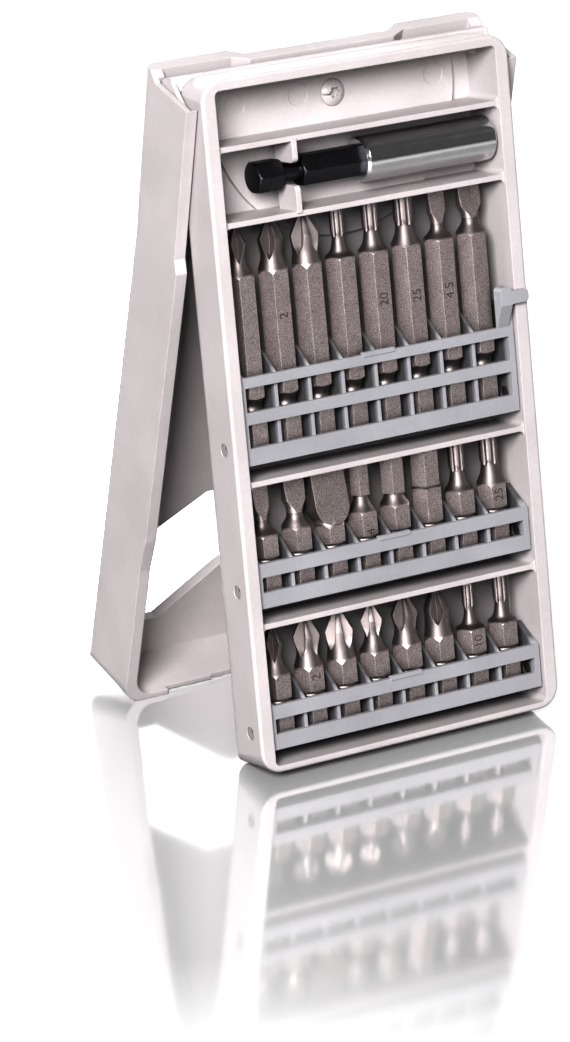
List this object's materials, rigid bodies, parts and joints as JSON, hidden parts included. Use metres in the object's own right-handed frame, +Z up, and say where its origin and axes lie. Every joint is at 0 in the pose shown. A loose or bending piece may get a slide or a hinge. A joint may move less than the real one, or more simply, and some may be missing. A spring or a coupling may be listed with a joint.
{
  "type": "screwdriver bit set",
  "caption": "Folding case that stands open on its hinged cover, with racks of hex screwdriver bits that tilt out and a magnetic bit holder.",
  "frame": {"origin": "middle of the footprint on the table, at floor height", "axes": "+Z up, -Y towards the open front of the tray, X across the case"},
  "size_m": [0.0826, 0.073, 0.1504],
  "materials": {
    "case_plastic": "fine satin",
    "rack_plastic": "satin",
    "bit_steel": "sandblasted",
    "black_steel": "black oxide",
    "sleeve_chrome": "polished",
    "pin_steel": "plain",
    "magnet": "plain"
  },
  "bodies": {
    "tray": {"tray": "case_plastic", "hinge_plate": "case_plastic", "swivel_rivet": "case_plastic", "rack_pivot_pins": "pin_steel"},
    "cover": {"cover": "case_plastic"},
    "upper_rack": {"upper_rack": "rack_plastic", "long_bit_phillips_1": "bit_steel", "long_bit_phillips_2": "bit_steel", "long_bit_phillips_3": "bit_steel", "long_bit_star_15": "bit_steel", "long_bit_star_20": "bit_steel", "long_bit_star_25": "bit_steel", "long_bit_slotted_4": "bit_steel", "long_bit_slotted_6": "bit_steel"},
    "middle_rack": {"middle_rack": "rack_plastic", "bit_slotted_3": "bit_steel", "bit_slotted_5": "bit_steel", "bit_slotted_8": "bit_steel", "bit_hex_4": "bit_steel", "bit_hex_5": "bit_steel", "bit_hex_6": "bit_steel", "bit_star_20": "bit_steel", "bit_star_25": "bit_steel"},
    "lower_rack": {"lower_rack": "rack_plastic", "bit_phillips_1": "bit_steel", "bit_phillips_2": "bit_steel", "bit_phillips_3": "bit_steel", "bit_cross_1": "bit_steel", "bit_cross_2": "bit_steel", "bit_cross_3": "bit_steel", "bit_star_10": "bit_steel", "bit_star_15": "bit_steel"},
    "bit_holder": {"holder_shank": "black_steel", "holder_sleeve": "sleeve_chrome", "holder_magnet": "magnet", "holder_retaining_ring": "pin_steel"}
  },
  "joints": [
    {"name": "cover_fold", "type": "hinge", "parent": "tray", "child": "cover", "pos_m": [0, -0.00718, 0.14026], "axis": [-1, 0, 0], "range_deg": [0, 22.2]},
    {"name": "upper_rack_tilt", "type": "hinge", "parent": "tray", "child": "upper_rack", "pos_m": [0, -0.02033, 0.07154], "axis": [1, 0, 0], "range_deg": [0, 30]},
    {"name": "middle_rack_tilt", "type": "hinge", "parent": "tray", "child": "middle_rack", "pos_m": [0, -0.0255, 0.04092], "axis": [1, 0, 0], "range_deg": [0, 30]},
    {"name": "lower_rack_tilt", "type": "hinge", "parent": "tray", "child": "lower_rack", "pos_m": [0, -0.03072, 0.01011], "axis": [1, 0, 0], "range_deg": [0, 30]},
    {"name": "holder_lift_out", "type": "slide", "parent": "tray", "child": "bit_holder", "axis": [0, -0.986, 0.1668], "range_m": [0, 0.025]}
  ]
}
